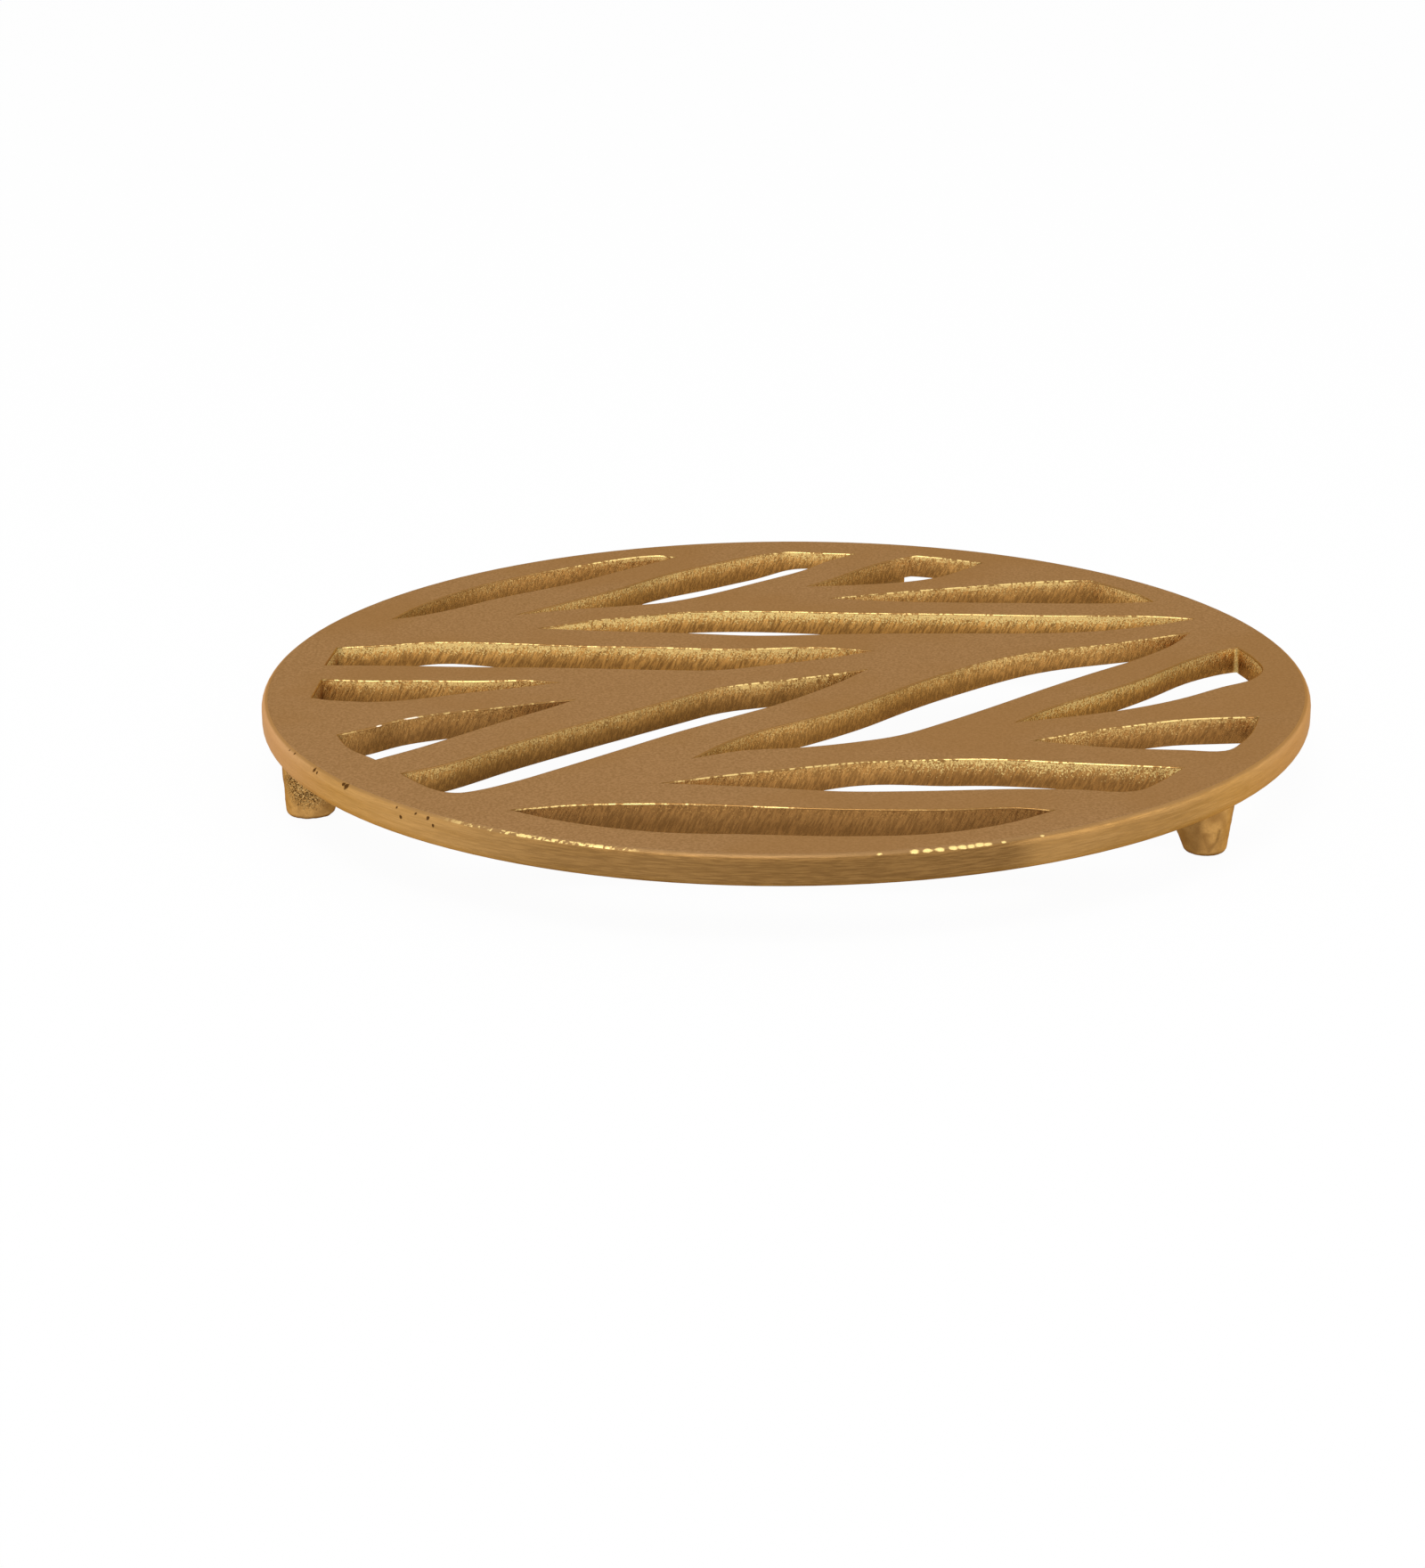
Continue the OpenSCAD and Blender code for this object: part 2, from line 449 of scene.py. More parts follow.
@dataclass(frozen=True)
class BrassFinish:
    """What every brass finish shares.

    An amount holds the least and what is added to it, and a range what becomes 0 and what becomes 1.
    """

    effects: SharedEffects
    name: str = "brass"
    metallic: float = 0.9
    roughness: float = 0.5
    relief: float = 0.02 * MM
    edge_tint: Tone = srgb(196, 160, 110)

    def paint(self, coat: Coat) -> None:
        """Lay the finish's tones over each other, which each finish does in its own way.

        Args:
            coat: The finish's coat.
        """
        raise NotImplementedError

    def build(self) -> bpy.types.Material:
        """Make the material, with the painted colour and the relief on a Principled shader.

        Returns:
            The material.
        """
        material = bpy.data.materials.new(self.name)
        coat = Coat.empty(material)
        self.paint(coat)
        bump = coat.add("Bump", Strength=1.0, Distance=self.relief, Height=coat.height)
        shader = coat.add(
            "BsdfPrincipled", Metallic=self.metallic, Roughness=self.roughness,
            Specular_Tint=self.edge_tint, Base_Color=coat.colour, Normal=bump.outputs[0])
        coat.add("OutputMaterial", Surface=shader.outputs[0])
        return material

    def spots(self, coat: Coat, places: tuple, scale: Place = (1, 1, 1)) -> Socket:
        """Join the masks of small ragged spots.

        Args:
            coat: The finish's coat.
            places: Each spot's middle and reach, in millimetres.
            scale: Less than 1 draws the spots out along that axis.

        Returns:
            The joined mask's socket.
        """
        point = coat.object_point(scale)
        masks = []
        for *middle, reach in places:
            x, y, z = (along * share * MM for along, share in zip(middle, scale))
            masks.append(coat.group(self.effects.cast_mark_and_glint, point, X=x, Y=y, Z=z, Reach=reach * MM)["Spot"])
        return coat.chain("MAXIMUM", *masks)

    def dashes(self, coat: Coat, least: float, more: float) -> Socket:
        """Mask the painted dashes of light along a slot's edge, by the glint that the slot has there.

        Args:
            coat: The finish's coat.
            least: How far dashes cover an edge without glint.
            more: What a glint of 1 adds to that.

        Returns:
            The mask's socket.
        """
        glint = coat.attribute("glint")
        dash = coat.group(
            self.effects.glints, coat.object_point(), Scale=1300.0, Patches=90.0,
            Cover=coat.amount(glint, least, more))
        return coat.product(dash["Glint"], glint)


@dataclass(frozen=True)
class GroundFace(BrassFinish):
    """The flat faces, ground to an even brown satin."""

    name: str = "ground brass face"
    roughness: float = 0.55
    relief: float = 0.010 * MM
    light_tone: Tone = srgb(174, 137, 98)
    dark_tone: Tone = srgb(154, 120, 82)
    worn_tone: Tone = srgb(159, 121, 78)
    light_range: Pair = (0.36, 0.64)
    wear_range: Pair = (0.42, 0.66)
    wear_share: float = 0.5
    speck_share: float = 0.2

    def paint(self, coat: Coat) -> None:
        """Lay wear and a few specks over the grain.

        Args:
            coat: The finish's coat.
        """
        point = coat.object_point()
        grain = coat.group(self.effects.grain, point, Fine_scale=1900.0, Slow_scale=34.0)
        specks = coat.group(self.effects.glints, point, Scale=800.0, Cover=0.12, Patches=60.0)
        wear = coat.ramp(grain["Slow"], *self.wear_range)
        coat.colour = coat.mix(coat.ramp(grain["Fine"], *self.light_range), self.dark_tone, self.light_tone)
        coat.cover(self.worn_tone, wear, self.wear_share)
        coat.cover(self.dark_tone, specks["Glint"], self.speck_share)
        coat.height = grain["Fine"]


@dataclass(frozen=True)
class BrushedRim(BrassFinish):
    """The rim's side, brushed along its length, with a few casting pits and painted glints: dashes and beads
    of light.

    It is painted paler at its two ends, a painted sheen where the rim turns to the sides, and darker in
    front, with painted shade along its upper edge there that dims a reflection. It shades into the face at
    its shoulder.
    """

    name: str = "brushed brass rim"
    roughness: float = 0.42
    light_tone: Tone = srgb(214, 166, 102)
    tone: Tone = srgb(196, 148, 84)
    # Painted sheen: the tone that the two ends are painted towards, where the rim turns to the sides.
    end_sheen_tone: Tone = srgb(238, 192, 150)
    dark_tone: Tone = srgb(127, 92, 50)
    # Painted shade on the upper edge of the front, which dims a reflection there.
    edge_shade_tone: Tone = srgb(132, 100, 60)
    face_tone: Tone = srgb(166, 128, 84)
    pit_tone: Tone = srgb(92, 62, 32)
    glint_tone: Tone = srgb(255, 222, 146)
    stroke_scale: Place = (1, 1, 16)
    light_amount: Pair = (0.25, 0.5)
    fine_share: float = 0.2
    end_span: Pair = (78, 98)
    left_span: Pair = (10, -10)
    end_amount: Pair = (0.42, 0.34)
    near: tuple = (Fade("X", -70, -34), Fade("X", 80, 66), Fade("Y", -50, -70))
    front: tuple = (Fade("X", 44, 37, 0.40), Fade("X", -40, 14, 0.78))
    front_amount: Pair = (0.72, 0.28)
    # Where the painted shade on the front's upper edge lies.
    edge: tuple = (Fade("Z", TOP - 0.60, TOP - 0.35), Fade("X", 62, 30))
    shoulder: Fade = Fade("Z", TOP - 0.55, TOP - 0.15)
    shoulder_share: float = 0.75
    # Where the painted glint dashes lie on the left front edge.
    glint_left: tuple = (
        Fade("X", -60, -52), Fade("X", -23, -29), Fade("Y", -60, -70),
        Fade("Z", TOP - 0.50, TOP - 0.40), Fade("Z", TOP - 0.06, TOP - 0.14))
    dash_scale: Place = (1, 1, 0.1)
    pits: tuple = (
        (-91.0, -40.4, 15.8, 0.38), (-90.0, -42.6, 15.6, 0.3), (-88.8, -44.8, 15.7, 0.38),
        (-85.1, -52.1, 15.7, 0.42), (-84.2, -53.4, 15.5, 0.6), (-83.6, -54.5, 15.3, 0.38),
        (-77.9, -61.8, 15.7, 0.5), (-77.3, -62.6, 15.5, 0.7), (-66.5, -74.7, 14.0, 0.42),
        (-67.3, -73.5, 15.4, 0.32), (-63.8, -76.7, 15.4, 0.36), (-61.4, -78.6, 15.2, 0.40),
        (-60.4, -79.6, 14.2, 0.34))
    # Painted glints: each bead of light's place across the front edge and its reach, in millimetres.
    beads: tuple = (
        (15.7, 0.26), (21.6, 0.36), (23.8, 0.36), (26.0, 0.38), (28.2, 0.36), (29.7, 0.38),
        (31.2, 0.34), (32.6, 0.38), (34.1, 0.32), (36.8, 0.24), (43.5, 0.22))
    bead_radius: float = 99.75
    bead_height: float = 15.62
    bead_scale: Place = (0.36, 0.36, 1)

    def paint(self, coat: Coat) -> None:
        """Lay the ends, the front, the shoulder, the glints and the pits over the brush marks.

        Args:
            coat: The finish's coat.
        """
        along = coat.object_point(self.stroke_scale)
        place = coat.axes()
        brush = coat.group(self.effects.streaks, along, Scale=55.0, Wander=0.3)["Mark"]
        fine = coat.group(self.effects.streaks, along, Scale=240.0, Wander=0.2)["Mark"]
        coat.colour = coat.mix(coat.amount(brush, *self.light_amount), self.tone, self.light_tone)
        coat.cover(self.dark_tone, fine, self.fine_share)
        # Painted sheen: the two ends, more so the left one, are painted paler.
        ends = coat.span(coat.math("ABSOLUTE", place["X"]), *self.end_span)
        more_left = coat.amount(coat.span(place["X"], *self.left_span), *self.end_amount)
        coat.cover(self.end_sheen_tone, ends, more_left)
        near = coat.fade(place, *self.near)
        front = coat.product(near, coat.fade(place, *self.front), coat.amount(fine, *self.front_amount))
        coat.cover(self.dark_tone, front)
        # Painted shade along the upper edge of the front.
        coat.cover(self.edge_shade_tone, near, coat.fade(place, *self.edge))
        shoulder = coat.fade(place, self.shoulder)
        coat.cover(self.face_tone, shoulder, self.shoulder_share)
        # Painted glints: dashes of light along the left front edge.
        dash = coat.group(
            self.effects.glints, coat.object_point(self.dash_scale), Scale=1300.0, Cover=0.51, Patches=170.0)
        coat.cover(self.glint_tone, dash["Glint"], coat.fade(place, *self.glint_left))
        # Painted glints: beads of light along the front edge.
        beads = tuple(
            (x, -math.sqrt(self.bead_radius ** 2 - x * x), self.bead_height, reach)
            for x, reach in self.beads)
        coat.cover(self.glint_tone, self.spots(coat, beads, self.bead_scale))
        coat.cover(self.pit_tone, self.spots(coat, self.pits))
        coat.height = fine


@dataclass(frozen=True)
class FiledWall(BrassFinish):
    """The slot walls, rough from the file, brighter in some slots than in others and painted with light and
    shade.
    """

    name: str = "filed brass wall"
    metallic: float = 0.85
    roughness: float = 0.38
    relief: float = 0.07 * MM
    # Wall tones, each lower and higher on the wall: the change between them is painted light and shade.
    dull_low: Tone = srgb(158, 112, 60)
    dull_high: Tone = srgb(196, 144, 82)
    # Painted sparkle tones of light, dull and bright.
    dull_sparkle_tone: Tone = srgb(226, 172, 100)
    bright_low: Tone = srgb(178, 128, 64)
    bright_high: Tone = srgb(240, 182, 100)
    bright_sparkle_tone: Tone = srgb(255, 226, 150)
    # Painted glint tone along the top of the wall.
    bead_tone: Tone = srgb(255, 220, 142)
    shade_tone: Tone = srgb(84, 56, 26)
    stroke_scale: Place = (1, 1, 0.2)
    stroke_lean: float = 26.0
    uneven_share: float = 0.6
    high_range: Pair = (0.30, 1.20)
    trough_amount: Pair = (0.46, 0.18)
    chip_share: float = 1.2
    rise_amount: Pair = (0.30, 0.20)
    slow_share: float = 0.2
    sparkle_share: float = 0.09
    sparkle_range: Pair = (1.05, 1.20)
    bead_amount: Pair = (0.32, 0.22)
    bead_shine: Pair = (0.1, 0.5)
    bead_range: Pair = (0.87, 0.96)
    # Painted highlight: the upright gleam's place and reach in the inner corner, in millimetres.
    corner: tuple = ((89.0, 17.8, 13.5, 0.8),)
    corner_gleam_scale: Place = (1, 1, 0.02)
    corner_gleam_share: float = 0.5

    def paint(self, coat: Coat) -> None:
        """Lay file marks, painted sparkles, painted shade and painted beads of light over the wall's slow
        change of tone, which holds painted light from above: lighter towards the top and darker towards the
        bottom.

        The last tone is a painted upright gleam in the right-hand slot's inner corner.

        Args:
            coat: The finish's coat.
        """
        down = coat.object_point(self.stroke_scale, lean=self.stroke_lean)
        marks = coat.group(self.effects.streaks, down, Scale=2400.0, Wander=0.2)["Mark"]
        chips = coat.group(self.effects.grain, coat.object_point(), Fine_scale=3100.0, Slow_scale=110.0)
        shine = coat.attribute("shine")
        lively = coat.attribute("sparkle")
        height = coat.ramp(coat.axes()["Z"], PLATE_LOW.z, PLATE_HIGH.z)
        # Painted light and shade: lighter towards the top of the wall, where light from above falls, and
        # darker towards the bottom.
        high = coat.ramp(coat.total(height, coat.product(chips["Slow"], self.uneven_share)), *self.high_range)
        low_tone = coat.mix(shine, self.dull_low, self.bright_low)
        body = coat.mix(high, low_tone, coat.mix(shine, self.dull_high, self.bright_high))
        trough = coat.mix(coat.amount(shine, *self.trough_amount), body, self.shade_tone)
        coat.colour = coat.mix(marks, trough, body)
        # Painted sparkles: bright specks of light, more of them near the top and in slots with more shine and
        # sparkle.
        level = coat.total(
            coat.product(chips["Fine"], self.chip_share),
            coat.product(height, coat.amount(shine, *self.rise_amount)),
            coat.product(chips["Slow"], self.slow_share),
            coat.product(lively, self.sparkle_share))
        sparkle_tone = coat.mix(coat.math("MAXIMUM", shine, lively), self.dull_sparkle_tone, self.bright_sparkle_tone)
        coat.cover(sparkle_tone, coat.ramp(level, *self.sparkle_range))
        # Painted shade that each slot's vertices carry.
        coat.cover(self.shade_tone, coat.attribute("shade"))
        # Painted glints: dashes of light along the top of the wall, where its arris catches the light.
        coat.cover(
            self.bead_tone, self.dashes(coat, *self.bead_amount),
            coat.ramp(shine, *self.bead_shine), coat.ramp(height, *self.bead_range))
        # Painted highlight: the upright gleam in the inner corner.
        corner = self.spots(coat, self.corner, self.corner_gleam_scale)
        coat.cover(self.bright_sparkle_tone, corner, self.corner_gleam_share)
        coat.height = coat.total(marks, chips["Fine"])


@dataclass(frozen=True)
class BrightArris(BrassFinish):
    """The slots' worn arrises, with painted glints in dashes where they catch the light, a painted pale gleam
    on one of them, and a tone darkened as painted shade.
    """

    name: str = "worn brass arris"
    roughness: float = 0.3
    relief: float = 0.04 * MM
    # Painted shade: darker than the face, so that the lit arris doesn't read lighter than the face.
    tone: Tone = srgb(150, 111, 64)
    arris_glint_tone: Tone = srgb(255, 222, 146)
    dash_amount: Pair = (0.42, 0.17)
    # Painted highlights: each gleam's place and reach, in millimetres.
    gleams: tuple = ((-69.8, -24.6, 15.8, 0.34), (-75.3, -29.3, 15.8, 0.14))
    gleam_scale: Place = (0.2, 0.2, 1)
    gleam_tone: Tone = srgb(255, 236, 212)

    def paint(self, coat: Coat) -> None:
        """Lay the painted dashes of light and the painted gleam over the arris.

        Args:
            coat: The finish's coat.
        """
        grain = coat.group(self.effects.grain, coat.object_point(), Fine_scale=1400.0)
        # Painted glints: dashes of light along the arris.
        coat.colour = coat.mix(self.dashes(coat, *self.dash_amount), self.tone, self.arris_glint_tone)
        # Painted highlight: a pale gleam on one arris.
        gleam = self.spots(coat, self.gleams, self.gleam_scale)
        coat.cover(self.gleam_tone, gleam)
        coat.height = grain["Fine"]


@dataclass(frozen=True)
class CastSkin(BrassFinish):
    """A foot's cast skin: satin, with a patch of rough specks."""

    name: str = "cast brass skin"
    metallic: float = 0.85
    roughness: float = 0.48
    relief: float = 0.10 * MM
    light_tone: Tone = srgb(214, 164, 94)
    tone: Tone = srgb(172, 126, 68)
    speck_tone: Tone = srgb(88, 58, 26)
    fleck_tone: Tone = srgb(240, 198, 128)
    shade_tone: Tone = srgb(96, 62, 28)
    patches: tuple = ((-87.6, -38.2, 7.6, 5.4),)
    light_range: Pair = (0.35, 0.65)
    mottle_range: Pair = (0.45, 0.7)
    mottle_share: float = 0.35
    speck_range: Pair = (0.47, 0.55)
    speck_amount: Pair = (0.08, 0.9)
    fleck_range: Pair = (0.53, 0.62)
    fleck_share: float = 0.8

    def paint(self, coat: Coat) -> None:
        """Lay painted shade, specks and flecks over the mottled skin.

        Args:
            coat: The finish's coat.
        """
        point = coat.object_point()
        grain = coat.group(self.effects.grain, point, Fine_scale=1300.0, Slow_scale=220.0)
        specks = coat.group(self.effects.grain, point, Fine_scale=3600.0, Slow_scale=3000.0)
        patch = self.spots(coat, self.patches)
        mottle = coat.ramp(grain["Fine"], *self.mottle_range)
        speck = coat.ramp(specks["Fine"], *self.speck_range)
        fleck = coat.ramp(specks["Slow"], *self.fleck_range)
        rough = coat.product(speck, coat.amount(patch, *self.speck_amount))
        coat.colour = coat.mix(coat.ramp(grain["Slow"], *self.light_range), self.tone, self.light_tone)
        coat.cover(self.tone, mottle, self.mottle_share)
        # Painted shade that each foot's vertices carry.
        coat.cover(self.shade_tone, coat.attribute("shade"))
        coat.cover(self.speck_tone, rough)
        coat.cover(self.fleck_tone, fleck, patch, self.fleck_share)
        coat.height = coat.math("SUBTRACT", grain["Fine"], rough)


@dataclass(frozen=True)
class SlotLook:
    """How one slot's wall and arris look, with places in millimetres across the plate.

    Its glint and sparkle are painted highlights and its shade is painted shade: the arris shines over the lit
    stretch, and the wall sparkles from sparkle_from on to the right.
    """

    place: Pair
    shine: float = 0.4
    glint: float = 0.5
    shade: float = 0.0
    foot_shade: float = 0.0
    lit: Pair = (-100.0, 100.0)
    sparkle: float = 0.0
    sparkle_from: float = -100.0
    lit_fade: float = 6.0
    unlit_share: float = 0.2
    sparkle_fade: float = 12.0
    side_glint: float = 0.15
    glint_focus: int = 6
    side_shade: float = 0.6
    side_facing: float = 0.55

    def marks(self, x: float, facing: Vector, depth: float) -> dict[str, float]:
        """Work out what one vertex of the slot carries.

        Args:
            x: The vertex's place across the plate, in millimetres.
            facing: The level direction that the wall faces there.
            depth: How far down the wall it is, from 0 to 1.

        Returns:
            Each vertex attribute's name with its value.
        """
        start, end = self.lit
        lit = clamp((x - start) / self.lit_fade) * clamp((end - x) / self.lit_fade)
        lit = self.unlit_share + (1 - self.unlit_share) * lit
        to_front = self.side_glint + (1 - self.side_glint) * max(0.0, -facing.y) ** self.glint_focus
        to_side = max(0.0, facing.x - self.side_facing) / (1 - self.side_facing)
        return {
            "shine": self.shine,
            "glint": self.glint * lit * to_front,
            "shade": self.shade + self.foot_shade * depth + self.side_shade * to_side,
            "sparkle": self.sparkle * clamp((x - self.sparkle_from) / self.sparkle_fade)}


SLOT_LOOKS = (
    SlotLook((-51.0, 66.0), shine=0.43, glint=1.8, lit=(-50.0, 100.0)),
    SlotLook((-16.5, 68.0), shine=0.74, glint=1.4, lit=(-7.0, 100.0)),
    SlotLook((24.5, 74.5), shine=0.43, glint=1.8, lit=(22.0, 100.0)),
    SlotLook((46.0, 56.5), shine=0.57, glint=1.1),
    SlotLook((16.5, 35.5), shine=1.0, glint=0.75),
    SlotLook((-35.0, 14.0), shine=0.88, glint=0.8),
    SlotLook((-67.0, -7.0), shine=0.66, glint=0.9),
    SlotLook((-62.0, -29.0), shine=0.22, glint=0.8, shade=0.14),
    SlotLook((-29.0, -33.0), shine=0.62, glint=1.4, foot_shade=0.38, lit=(-16.0, 100.0),
             sparkle=0.4, sparkle_from=-14.0),
    SlotLook((30.0, -13.5), shine=0.55, glint=1.0, lit=(26.0, 100.0)),
    SlotLook((72.5, -5.5), shine=0.86, glint=0.45),
    SlotLook((70.5, -37.0), shine=0.24, glint=1.3, sparkle=0.6),
    SlotLook((27.5, -60.0), shine=0.26, glint=1.0, sparkle=1.0, sparkle_from=14.0),
    SlotLook((-1.0, -81.0), shine=0.0, glint=0.8, shade=0.20, lit=(-100.0, 4.0)),
)


@dataclass
class PiercedPlate:
    """The plate: its CAD shape with rounded arrises and a finish for each zone.

    A thin spot has its place and reach in millimetres, and the share of the thickness that it lacks.
    """

    effects: SharedEffects
    node: str = "plate"
    top: float = PLATE_HIGH.z
    bottom: float = PLATE_LOW.z
    slots_reach: float = PLATE_HIGH.x - 1.6 * MM
    arris: float = 0.26 * MM
    rim_round: float = 0.6 * MM
    segments: int = 3
    arris_turn: float = math.radians(25)
    smooth_turn: float = math.radians(40)
    thin_spots: tuple = (
        (-12, 42, 40, 0.135), (6, 90, 14, 0.30), (-14, 80, 22, -0.08), (30, 86, 16, 0.16),
        (50, 55, 15, 0.30), (-67, 25, 12, 0.12), (62, 16, 30, 0.20), (62, -4, 14, 0.05),
        (66, -28, 14, 0.05), (-15, -73, 34, -0.08), (14, -46, 17, 0.17))
    lip: float = 0.11
    lip_radius: float = 95 * MM
    lip_fade: float = 5 * MM
    socket_reach: float = 4 * MM
    weld: float = 0.004 * MM
    flat_normal: float = 0.999
    face_normal: float = 0.98
    upright_normal: float = 0.5
    arris_normal: float = 0.12
    shading_weight: int = 100
    mark_names: tuple[str, ...] = ("shine", "glint", "shade", "sparkle")
    piece: Piece = field(init=False)

    def copy_solid(self) -> None:
        """Copy the CAD solid into a piece of its own, with its doubles merged."""
        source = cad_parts[self.node]
        self.piece = bpy.data.objects.new("pierced_plate", source.data.copy())
        self.piece.data.materials.clear()
        bpy.context.scene.collection.objects.link(self.piece)
        with editing(self.piece, Element.VERT, lambda vertex: True):
            bpy.ops.mesh.remove_doubles(threshold=self.weld)

    def on_arris(self, edge: bpy.types.MeshEdge, joined: list[int], on_rim: bool) -> bool:
        """Tell whether a flat face meets a wall or the rim at an edge.

        Args:
            edge: The edge.
            joined: The numbers of the faces that meet there.
            on_rim: True for the rim's edges and False for the slots' edges.

        Returns:
            True where the edge is one to round.
        """
        if len(joined) != 2:
            return False
        mesh = self.piece.data
        first, second = (mesh.polygons[index].normal for index in joined)
        upright = max(abs(first.z), abs(second.z)) < self.upright_normal
        middle = (mesh.vertices[edge.vertices[0]].co + mesh.vertices[edge.vertices[1]].co) / 2
        outside = middle.xy.length > self.slots_reach
        return first.angle(second, 0.0) > self.arris_turn and not upright and outside == on_rim

    def round_arrises(self) -> None:
        """Round the slots' edges and soften the rim's bevels."""
        for on_rim, offset in ((False, self.arris), (True, self.rim_round)):
            faces = faces_by_edge(self.piece.data)
            with editing(self.piece, Element.EDGE, lambda edge: self.on_arris(edge, faces[edge.key], on_rim)):
                bpy.ops.mesh.bevel(offset=offset, segments=self.segments, profile=0.5, loop_slide=False)

    def open_faces(self) -> None:
        """Take the two flat faces off, so that only the walls and the rim are left."""
        with editing(self.piece, Element.FACE, lambda face: abs(face.normal.z) > self.flat_normal and min(
                abs(face.center.z - self.top), abs(face.center.z - self.bottom)) < self.weld):
            bpy.ops.mesh.delete(type="ONLY_FACE")
            bpy.ops.mesh.select_mode(type="EDGE")
            bpy.ops.mesh.select_all(action="SELECT")
            bpy.ops.mesh.delete_loose(use_verts=True, use_edges=True, use_faces=False)

    def fill_faces(self) -> None:
        """Fill the two flat faces between the rim and the slots anew."""
        mesh = self.piece.data
        for level in (self.top, self.bottom):
            faces = faces_by_edge(mesh)
            with editing(self.piece, Element.EDGE, lambda edge: len(faces[edge.key]) == 1 and all(
                    abs(mesh.vertices[index].co.z - level) < self.weld for index in edge.vertices)):
                bpy.ops.mesh.fill(use_beauty=True)

    def check_closed(self) -> None:
        """Report how many edges don't join exactly two faces, which should be none."""
        count = sum(len(joined) != 2 for joined in faces_by_edge(self.piece.data).values())
        LOG.info("%s: %d open edges", self.piece.name, count)

    def thin_underside(self) -> None:
        """Raise the underside where the casting is thinner and lower it under the rim."""
        for vertex in self.piece.data.vertices:
            share = 0.0
            for x, y, reach, depth in self.thin_spots:
                far = (vertex.co.xy - Vector((x * MM, y * MM))).length / (reach * MM)
                share += depth * max(0.0, 1 - far * far) ** 2
            inside = clamp((self.lip_radius - vertex.co.xy.length) / self.lip_fade)
            thickness = 1 - share * inside + self.lip * (1 - inside)
            vertex.co.z = self.top - (self.top - vertex.co.z) * thickness

    def zone_of(self, polygon: bpy.types.MeshPolygon) -> Zone:
        """Name the zone that a face lies in.

        Args:
            polygon: One face of the plate.

        Returns:
            The face's zone.
        """
        if abs(polygon.normal.z) > self.face_normal:
            return Zone.FACE
        if polygon.center.xy.length > self.slots_reach:
            return Zone.RIM
        return Zone.ARRIS if polygon.normal.z > self.arris_normal else Zone.WALL

    def find_slots(self) -> list[set[int]]:
        """Gather the vertices of each slot's wall.

        Returns:
            One set of vertex numbers for each slot.
        """
        links: dict[int, set[int]] = defaultdict(set)
        for polygon in self.piece.data.polygons:
            if self.zone_of(polygon) in (Zone.WALL, Zone.ARRIS):
                for index in polygon.vertices:
                    links[index].update(polygon.vertices)
        slots = []
        while links:
            slot: set[int] = set()
            reached = [next(iter(links))]
            while reached:
                index = reached.pop()
                if index in links:
                    slot.add(index)
                    reached.extend(links.pop(index))
            slots.append(slot)
        return slots

    def mark_slots(self) -> None:
        """Write how each slot looks on its vertices, with its painted glints, shade and sparkle, for the
        finishes to read.
        """
        vertices = self.piece.data.vertices
        for name in self.mark_names:
            self.piece.data.attributes.new(name, "FLOAT", "POINT")
        # A new attribute moves the others in memory, so they are held only when all are made.
        held = {name: self.piece.data.attributes[name].data for name in self.mark_names}
        for slot in self.find_slots():
            middle = sum((vertices[index].co.xy for index in slot), Vector((0, 0))) / len(slot)
            if all((vertices[index].co.xy - middle).length < self.socket_reach for index in slot):
                continue
            look = min(SLOT_LOOKS, key=lambda known: (Vector(known.place) * MM - middle).length)
            for index in slot:
                place = vertices[index].co
                facing = vertices[index].normal.xy.normalized()
                depth = (self.top - place.z) / (self.top - self.bottom)
                for name, value in look.marks(place.x / MM, facing, depth).items():
                    held[name][index].value = value

    def dress(self) -> None:
        """Give each zone its finish and shade the round stretches smoothly."""
        for finish in (GroundFace, BrushedRim, FiledWall, BrightArris):
            self.piece.data.materials.append(finish(self.effects).build())
        for polygon in self.piece.data.polygons:
            polygon.material_index = self.zone_of(polygon).value
        self.mark_slots()
        self.thin_underside()
        make_active(self.piece)
        bpy.ops.object.shade_smooth_by_angle(angle=self.smooth_turn)
        modifier = self.piece.modifiers.new("even shading", "WEIGHTED_NORMAL")
        modifier.weight = self.shading_weight
        modifier.keep_sharp = True
        bpy.ops.object.modifier_apply(modifier="even shading")

    def build(self) -> None:
        """Model and dress the plate."""
        self.copy_solid()
        self.round_arrises()
        self.open_faces()
        self.fill_faces()
        self.check_closed()
        self.dress()
        piece = self.piece
        settle(piece)
        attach(piece, "root")
        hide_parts(self.node)
        LOG.info("%s: %d faces", piece.name, len(piece.data.polygons))


@dataclass(frozen=True)
class PegShape:
    """How one foot came out of the mould, in millimetres.

    Each side has its half width at the end, its greatest half width and the height where it has it. A
    crease has its two ends, each across and up from the foot's middle, and its strength.
    """

    node: str
    left: Place = (4.7, 5.2, 10.2)
    right: Place = (4.7, 5.2, 10.2)
    end_round: float = 1.5
    creases: tuple = ()
    shaded_left: float = 0.0


PEG_SHAPES = (
    PegShape("foot_left", left=(4.6, 5.15, 10.2), right=(4.65, 5.0, 10.2), end_round=1.1),
    PegShape("foot_right", left=(3.5, 5.9, 5.6), right=(3.95, 5.35, 10.2), end_round=1.0, creases=(
        ((-0.9, 4.6), (0.35, 1.2), 0.30), ((0.35, 1.2), (1.7, 3.3), 0.45), ((1.7, 3.3), (2.1, 5.4), 0.60)),
        shaded_left=0.55),
    PegShape("foot_rear"),
)


